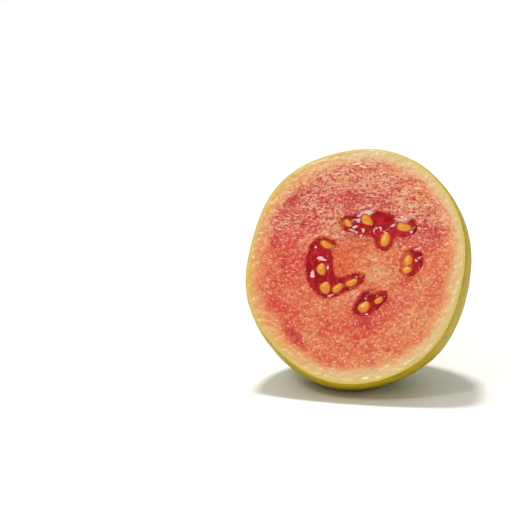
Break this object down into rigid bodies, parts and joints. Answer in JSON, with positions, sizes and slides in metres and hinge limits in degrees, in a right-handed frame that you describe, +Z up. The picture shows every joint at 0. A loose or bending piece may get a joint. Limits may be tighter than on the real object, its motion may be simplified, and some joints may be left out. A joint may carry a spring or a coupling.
{
  "type": "half guava",
  "caption": "Half of a ripe guava cut crosswise, lying on its round side: thin green skin, pink flesh, seeds in pockets of red pulp, and a dried crown at the blossom end.",
  "frame": {"origin": "on the surface that the half rests on, under the middle of its bounding box", "axes": "+Z up; the cut faces -Y and leans back by 23.3 degrees; +X to the right as the cut is looked at"},
  "size_m": [0.0696, 0.0614, 0.0751],
  "materials": {
    "skin": "thin waxy skin, green going to yellow, satin",
    "flesh": "moist pink flesh, finely grained, cream towards the skin",
    "pulp": "wet crimson jelly",
    "seed": "smooth yellow-orange seed, wet",
    "crown": "dried brown sepals, matt"
  },
  "bodies": {
    "root": {"skin": "skin", "flesh": "flesh", "blossom_crown": "crown", "pulp_top": "pulp", "seed_top_1": "seed", "seed_top_2": "seed", "seed_top_3": "seed", "seed_top_4": "seed", "pulp_left": "pulp", "seed_left_1": "seed", "seed_left_2": "seed", "seed_left_3": "seed", "seed_left_4": "seed", "seed_left_5": "seed", "pulp_bottom": "pulp", "seed_bottom_1": "seed", "seed_bottom_2": "seed", "pulp_right": "pulp", "seed_right_1": "seed", "seed_right_2": "seed"}
  },
  "joints": []
}
